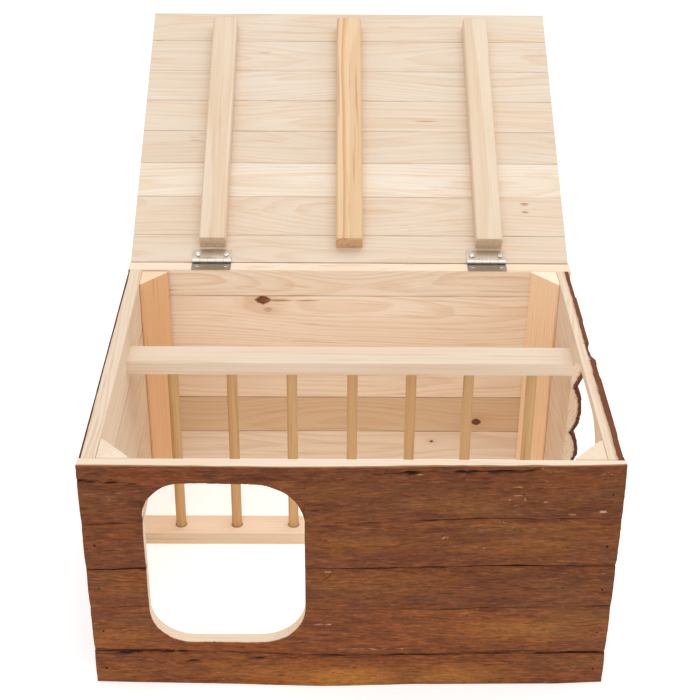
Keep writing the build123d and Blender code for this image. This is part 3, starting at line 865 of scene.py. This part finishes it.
def bar(name, node, side, length, outline, heart, finishes, body, tone, warm, seed, eased=0.6):
    """Bar along a side's first direction: an outline in the other two, carried from 0 to length
    with slightly drawn-in ends, and closed by flat ends. heart is where the rings centre."""
    steps = np.array([0, 0.3, 1]) * eased
    s = np.concatenate([steps, np.linspace(0, length, 60)[1:-1], length - steps[::-1]])
    inset = np.interp(np.minimum(s, length - s), steps, [eased, 0.3 * eased, 0])
    middle = (outline.max(0) + outline.min(0)) / 2
    half = (outline.max(0) - outline.min(0)) / 2
    scale = 1 - inset[:, None] / half[None, :]
    y = middle[0] + (outline[None, :, 0] - middle[0]) * scale[:, :1]
    z = middle[1] + (outline[None, :, 1] - middle[1]) * scale[:, 1:]
    x = s[:, None] + 0 * y
    points = place(side, x, y, z).reshape(-1, 3)
    following = np.roll(outline, -1, axis=0)
    area = np.sum(outline[:, 0] * following[:, 1] - following[:, 0] * outline[:, 1])
    faces = tube_faces(len(s), len(outline), handed(side) * area < 0)
    drift = 3 * rough(x, 0, 150, 1, seed + 1)
    grain = np.stack([x + 700 * (seed % 13), y - heart[0] + drift, z - heart[1]], -1).reshape(-1, 3) * mm
    values = {"grain": grain, "tone": np.full(len(points), tone), "warm": np.full(len(points), warm)}
    add_piece(name, points, faces, finishes, values, body, [node], ends=2)


def bar_finish(name, sap, late, contrast, ring, end=False):
    """Planed pine of a bar, whose grain comes from the piece's own values."""
    f = Finish(name, IOR=1.45)
    grain, tone, warm = f.value("grain", "Vector"), f.value("tone"), f.value("warm")
    return f.made(*pine(f, grain, tone, warm, sap, late, contrast, ring, end=end))


post_sap = ("#eccfae", "#e4c096", "#d6a06b")
post_late = ("#c79463", "#b67a4a")
post_top = ("#f1dfc9", "#ecd4b7", "#e4c39c")
post_finish = [bar_finish("post_pine", post_sap, post_late, 0.35, 2.6),
               bar_finish("post_pine_end", post_top, faint_late, 0.4, 2.6)]
posts = {
    "post_front_left": (1, 1, 1.0, 0.1),
    "post_front_right": (-1, 1, 1.0, 0.1),
    "post_back_left": (1, -1, 1.14, 0.9),
    "post_back_right": (-1, -1, 1.22, 0.2),
}
for number, (node, (x_way, y_way, tone, warm)) in enumerate(posts.items()):
    low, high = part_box(node)
    wide, deep, tall = (high - low) / mm
    tip = 2.5
    corners = [(0, 0), (wide, 0), (wide, tip), (tip, deep), (0, deep)]
    corner = Vector((low.x if x_way > 0 else high.x, low.y if y_way > 0 else high.y, low.z))
    post_side = Side(tuple(corner), (0, 0, 1), (x_way, 0, 0), (0, y_way, 0))
    bar(f"{node}_bar", node, post_side, tall, rounded(corners, 0.8), (-12.0, 45.0), post_finish, "house",
        tone, warm, 600 + number)

# Hay rack. Two planed rails from side wall to side wall with seven round hardwood dowels
# between them, pushed into tight holes above and looser ones below.


def place_finish(name, sap, late, contrast, ring, along, heart, tone, warm, face=None):
    """Wood of a piece that keeps its own mesh: the grain runs along one of the frame's axes.
    face is where along Y lies a face made darker and greyer as painted shade, if there is one."""
    f = Finish(name, IOR=1.45)
    spot = f.spot()
    x, y, z = f.parts(spot)
    ordered = {"x": (x, y, z), "z": (z, x, y)}[along]
    grain = f.joined(ordered[0], ordered[1] - heart[0], ordered[2] - heart[1])
    body, roughness, height = pine(f, grain, tone, warm, sap, late, contrast, ring)
    if face is not None:
        # Painted shade: the face at Y = face is made darker and greyer.
        painted_shade = 1 - f.ease(y, face + 0.2 * mm, face + 0.8 * mm)
        body = f.mix(painted_shade * 0.55, body, f.mix(0.8, body, "#a8977a", "MULTIPLY"))
    return f.made(body, roughness, height)


def repaint(node, material):
    """Gives a CAD node that keeps its shape its own finish."""
    mesh = nodes[node].data
    mesh.materials.clear()
    mesh.materials.append(material)


for number, node in enumerate(("rack_upper_rail", "rack_lower_rail")):
    low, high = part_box(node)
    heart = (low.y - 0.035 + 0.09 * number, low.z - 0.03)
    tone = (0.94, 1.22)[number]
    # The lower rail's front face gets painted shade.
    finish = place_finish(f"{node}_pine", slab_sap, slab_late, 0.3, 2.6, "x", heart, tone, 0.35,
                          low.y if number else None)
    repaint(node, finish)

dowel_sap = ("#d8b585", "#cfa671", "#c79a60")
dowel_late = ("#b28150", "#a3703f")
for number in range(1, 8):
    node = f"rack_dowel_{number}"
    low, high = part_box(node)
    heart = (low.x - 0.02 - 0.004 * number, low.y - 0.01 + 0.005 * number)
    warm = 0.3 + 0.12 * (number % 3)
    finish = place_finish(f"{node}_wood", dowel_sap, dowel_late, 0.5, 1.8, "z", heart, 1.0, warm)
    repaint(node, finish)

# Lid. Eight slabs side by side with the bark outside, held together by three battens on the
# inside. It stands open, leaning back on the rear arris of the back wall.

hinge = frame["joints"][0]
lean = radians(26.7)
pin_seat = 2.7
lid_crown = 14.5
lid_along = (0.0, cos(lean), sin(lean))
lid_out = (0.0, sin(lean), -cos(lean))
pin = np.array(hinge["pos_m"])
lid_side = Side(tuple(pin + np.array(lid_out) * pin_seat * mm), (1, 0, 0), lid_along, lid_out)
lid_tones = {1: (0.9, 0.3), 2: (0.91, 0.4), 3: (0.95, 0.0), 4: (0.88, 0.3),
             5: (0.9, 0.3), 6: (0.88, 0.1), 7: (0.88, 0.2), 8: (0.88, 0.25)}
lid_marks = (
    (205, 86, 7, 3.6, 0.8), (205, 74, 6, 3.4, 0.8), (92, 213, 24, 2.4, 0.6),
    (-165, 188, 12, 2.6, 0.5), (-188, 186, 14, 2.4, 0.5), (-133, 223, 14, 2.4, 0.45),
    (-106, 326, 16, 2.4, 0.5), (64, 54, 12, 2.4, 0.5), (60, 372, 26, 2.6, 0.5),
    (-186, 181, 14, 1.6, 0.6), (-176, 192, 16, 1.6, 0.55), (-110, 40, 40, 1.8, 0.4),
    (40, 28, 60, 1.8, 0.4), (150, 160, 50, 1.8, 0.4),
)
lid_late = ("#e0b88c", "#dca873")
# The lid's slabs take fainter painted shade along their inner seams.
lid_finish = [slab_finish("lid_slab", contrast=0.42, late=lid_late, ring=3.6, joint=0.32), slab_end]


def lid_reach(node):
    """Span of a slab of the lid, in mm. Its box leans, so its near edge is found from how far
    forward the box comes and its far edge from how high the box goes."""
    low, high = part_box(node)
    near = (low.y - lid_side.origin[1]) / cos(lean) / mm
    far = (high.z - lid_side.origin[2]) / sin(lean) / mm
    return low.x / mm, high.x / mm, near, far, lid_crown


for number in range(1, 9):
    node = f"lid_board_{number}"
    span = lid_reach(node)
    thin = number == 1
    look = plain_look(
        number, 8, span, (700, 140), lid_tones, 1.2, 0.6 if thin else 1.5,
        edges=(10.5, 10.5),
        least=0.5 if thin else thinnest_bark,
        heart=12.0 * (-1) ** number,
        cup=0.6,
        marks=lid_marks,
        pale=((-160 + 40 * number, span[2] + 20, 10, 3, 0.9),),
        gold=((150 - 50 * number, span[2] + 25, 70, 12, 0.5),),
    )
    slab_board(node, lid_side, span, look, 710 + 10 * number, 2.6, 30, lid_finish, body="lid")

# Battens. Three planed bars nailed across the lid's slabs, each with its outer arrises taken
# off. The middle one was cut from nearer the heart and is more orange.

batten_start = 21.5
batten_length = 348.0
batten_base, batten_face, batten_thick = 30.5, 27.5, 18.0
pale_sap = ("#efdcc4", "#ecd3b6", "#e8c8a2")
pale_late = ("#dcae80", "#d8a06a")
orange_sap = ("#efcda2", "#f0d3ae", "#e8bf92")
orange_late = ("#cc8c56", "#c07c48")
batten_looks = {
    "left": (pale_sap, pale_late, 0.35, 4.2, (-2.0, -60.0)),
    "middle": (orange_sap, orange_late, 0.75, 3.8, (14.0, -24.0)),
    "right": (pale_sap, pale_late, 0.35, 4.6, (-9.0, -60.0)),
}
shoulder = batten_thick - (batten_base - batten_face)
half, top = batten_base / 2, batten_face / 2
batten_corners = [(-half, 0), (half, 0), (half, shoulder), (top, batten_thick),
                  (-top, batten_thick), (-half, shoulder)]
batten_outline = rounded(batten_corners, 0.7)


def batten_place(name):
    """Place of a batten's middle along X, in mm."""
    low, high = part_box(f"lid_batten_{name}")
    return (low.x + high.x) / 2 / mm


for number, (name, (sap, late, contrast, ring, heart)) in enumerate(batten_looks.items()):
    node = f"lid_batten_{name}"
    origin = np.array(lid_side.origin) + np.array(lid_along) * batten_start * mm
    origin = origin + np.array((1, 0, 0)) * batten_place(name) * mm
    batten_side = Side(tuple(origin), lid_along, (1, 0, 0), tuple(-np.array(lid_out)))
    finishes = [bar_finish(f"batten_{name}{part}", sap, late, contrast, ring, bool(part))
                for part in ("", "_end")]
    bar(f"{node}_bar", node, batten_side, batten_length, batten_outline, heart, finishes, "lid",
        0.9, 0.15, 800 + 7 * number)

# Hinges. Two butt hinges of zinc-plated steel, each leaf held by two pan-head screws with a
# cross recess. The plating is bright with faint rolling marks.


def plated(name, base, dark, rough_low, rough_high, axis=None):
    """Zinc-plated steel: cloudy spangle, fine rolling marks and a little dulling. Round an
    axis along X the knuckles get a painted highlight on their upper side and painted shade
    on their lower side, and are made less metallic so that these colours show."""
    f = Finish(name, Metallic=1.0)
    spot = f.spot()
    cloud = f.noise(spot, (90, 90, 90), 3.0, 0.6)
    marks = f.noise(spot, (60, 1600, 1600), 2.0, 0.6)
    grime = f.ease(f.noise(spot, (240, 240, 240), 2.0), 0.55, 0.75)
    body = f.mix(cloud, base, dark)
    body = f.mix(grime * 0.35, body, "#6d665c")
    if axis is not None:
        x, y, z = f.parts(spot)
        away = ((y - axis[1]) ** 2 + (z - axis[2]) ** 2) ** 0.5
        knuckle = 1 - f.ease(away, knuckle_reach[0] * mm, knuckle_reach[1] * mm)
        # Painted highlight above the pin's axis and painted shade below it.
        painted_light_side = f.ease(z, axis[2] - 0.6 * mm, axis[2] + 0.8 * mm)
        body = f.mix(knuckle, body, f.mix(painted_light_side, "#837b70", "#efebe4"))
        f.feed("Metallic", 1 - knuckle * 0.6)
    roughness = f.ease(cloud * 0.6 + marks * 0.4, 0.3, 0.7, rough_low, rough_high)
    return f.made(body, roughness, marks * 0.02 + cloud * 0.02)


knuckle_reach = (2.45, 2.6)
# The plates' grey-tan is the zinc's own grey with a painted reflection of the pine's tan.
zinc = plated("zinc_plate", "#c9bba8", "#9a8c79", 0.3, 0.48, hinge["pos_m"])
screw_zinc = plated("zinc_screw", "#dcdad6", "#b4b1ac", 0.16, 0.32)
for name in ("left", "right"):
    for part in ("wall_leaf", "lid_leaf"):
        repaint(f"hinge_{name}_{part}", zinc)
    repaint(f"hinge_{name}_pin", screw_zinc)
for node in ("hinge_wall_screws", "hinge_lid_screws"):
    repaint(node, screw_zinc)

# Nails. Round brads with small heads, driven until they sit just in the bark.


def nail_heads(name, nodes_replaced, spots, body):
    """Low domed heads: rings of a shrinking circle, raised by a parabola, each with a short
    collar that runs into the bark. spots are (side, x, y, z of the surface) in mm."""
    radius, rise, collar = 1.3, 0.35, 1.5
    turn = np.linspace(0, 2 * pi, 17)[:-1]
    rings = [(radius * 0.8, -collar), (radius, 0.0), (radius * 0.93, rise * 0.55),
             (radius * 0.6, rise * 0.9), (radius * 0.25, rise)]
    r, up = np.array(rings).T[:, :, None]
    points, faces = [], []
    for number, (side, x, y, z) in enumerate(spots):
        head = place(side, x + r * np.cos(turn), y + r * np.sin(turn), z + up + 0 * turn)
        shift = number * len(rings) * len(turn)
        single = tube_faces(len(rings), len(turn), handed(side) < 0)
        points.append(head.reshape(-1, 3))
        faces += [[corner + shift for corner in face] for face in single]
    points = np.concatenate(points)
    add_piece(name, points, faces, [nail_steel], {}, body, nodes_replaced)


nail_steel = plated("nail_steel", "#2c241e", "#1a1410", 0.5, 0.7)
nail_sink = 0.25


def surface_at(piece_name, side, x, y):
    """Where a slab's outer surface is at a place: its height at the nearest mesh point."""
    mesh = bpy.data.objects[piece_name].data
    points = np.zeros(len(mesh.vertices) * 3, np.float32)
    mesh.vertices.foreach_get("co", points)
    local = (points.reshape(-1, 3) - np.array(side.origin)) @ np.array(side[1:]).T / mm
    local = local[len(local) // 2:]
    nearest = np.argmin(np.hypot(local[:, 0] - x, local[:, 1] - y))
    return local[nearest, 2] - nail_sink


post_middles = (-239.5, 239.5)
side_middles = (front_arris + 27.0, front_arris + 366.0)
above_middle = 6.0
wall_spots, rack_spots, lid_spots = [], [], []
for side, wall, places, above in (
    (front_side, "front", post_middles, 0.0),
    (back_side, "back", post_middles, 0.0),
    (left_side, "left", side_middles, above_middle),
    (right_side, "right", side_middles, above_middle),
):
    for base in (f"{wall}_board_{number}" for number in range(1, 6)):
        for x, ends in zip(places, (("left", "front"), ("right", "rear"))):
            board = next(n for n in nodes if n in (base, *(f"{base}_{end}" for end in ends)))
            span = reach(board, side)
            y = (span[2] + span[3]) / 2 + above
            wall_spots.append((side, x, y, surface_at(f"{board}_slab", side, x, y)))
nail_heads("wall_nail_heads", ["wall_nails"], wall_spots, "house")

rail_nails = ((1, "rack_lower_rail", 7.5), (5, "rack_upper_rail", 227.0))
for side, wall in ((left_side, "left"), (right_side, "right")):
    for number, rail, y in rail_nails:
        low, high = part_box(rail)
        x = (low.y + high.y) / 2 / mm + 6.0
        rack_spots.append((side, x, y, surface_at(f"{wall}_board_{number}_slab", side, x, y)))
nail_heads("rack_nail_heads", ["rack_nails"], rack_spots, "house")

end_room = 8
for node in (f"lid_board_{number}" for number in range(1, 9)):
    _, _, near, far, _ = lid_reach(node)
    y = min(max((near + far) / 2, batten_start + end_room), batten_start + batten_length - end_room)
    for name in batten_looks:
        x = batten_place(name)
        lid_spots.append((lid_side, x, y, surface_at(f"{node}_slab", lid_side, x, y)))
nail_heads("lid_nail_heads", ["lid_nails"], lid_spots, "lid")

# Setting. A plain white floor, a large soft light above, a weaker one from the front, and an
# even white surround, like a product table.

half_floor = 9.0
floor_glow, surround_light = 0.38, 0.74
floor_corners = [(x * half_floor, y * half_floor, 0) for x, y in ((-1, -1), (1, -1), (1, 1), (-1, 1))]
floor_mesh = bpy.data.meshes.new("floor")
floor_mesh.from_pydata(floor_corners, [], [(0, 1, 2, 3)])
floor = bpy.data.objects.new("floor", floor_mesh)
bpy.context.scene.collection.objects.link(floor)
white = Finish("white_floor", Roughness=0.9)
dust = white.noise(white.spot(), (30, 30, 30), 2.0)
white.feed("Base Color", white.mix(dust * 0.1, (0.93, 0.93, 0.93, 1), (0.9, 0.9, 0.9, 1)))
white.surface.inputs["Emission Color"].default_value = (1, 1, 1, 1)
white.surface.inputs["Emission Strength"].default_value = floor_glow
floor_mesh.materials.append(white.material)

world = bpy.data.worlds.new("studio")
world.use_nodes = True
surround = world.node_tree.nodes["Background"].inputs
surround["Color"].default_value = (1.0, 1.0, 1.0, 1)
surround["Strength"].default_value = surround_light
bpy.context.scene.world = world


def soft_light(name, spot, aim, size, power):
    """Square area light at a place, turned to face a point."""
    data = bpy.data.lights.new(name, "AREA")
    data.shape = "SQUARE"
    data.size = size
    data.energy = power
    lamp = bpy.data.objects.new(name, data)
    lamp.location = spot
    lamp.rotation_euler = (Vector(aim) - Vector(spot)).to_track_quat("-Z", "Y").to_euler()
    bpy.context.scene.collection.objects.link(lamp)


soft_light("overhead", (0.3, 0.1, 2.6), (0, 0, 0.1), 2.4, 24)
soft_light("front", (-0.9, -2.6, 1.5), (0, -0.2, 0.15), 1.8, 8)
soft_light("right", (2.4, -0.6, 1.4), (-0.1, 0, 0.15), 1.4, 5)

camera_data = bpy.data.cameras.new("camera")
camera_data.sensor_width = 36.0
camera_data.lens = 74.95
camera = bpy.data.objects.new("camera", camera_data)
down, sideways, tilt = radians(30.746), radians(-0.642), radians(0.565)
camera.matrix_world = (
    Matrix.Translation((-0.0152, -1.4515, 1.0227))
    @ Matrix.Rotation(sideways, 4, "Z")
    @ Matrix.Rotation(pi / 2 - down, 4, "X")
    @ Matrix.Rotation(tilt, 4, "Z")
)
camera_data.clip_start, camera_data.clip_end = 0.05, 50
bpy.context.scene.collection.objects.link(camera)
bpy.context.scene.camera = camera
bpy.context.scene.view_settings.view_transform = "Standard"
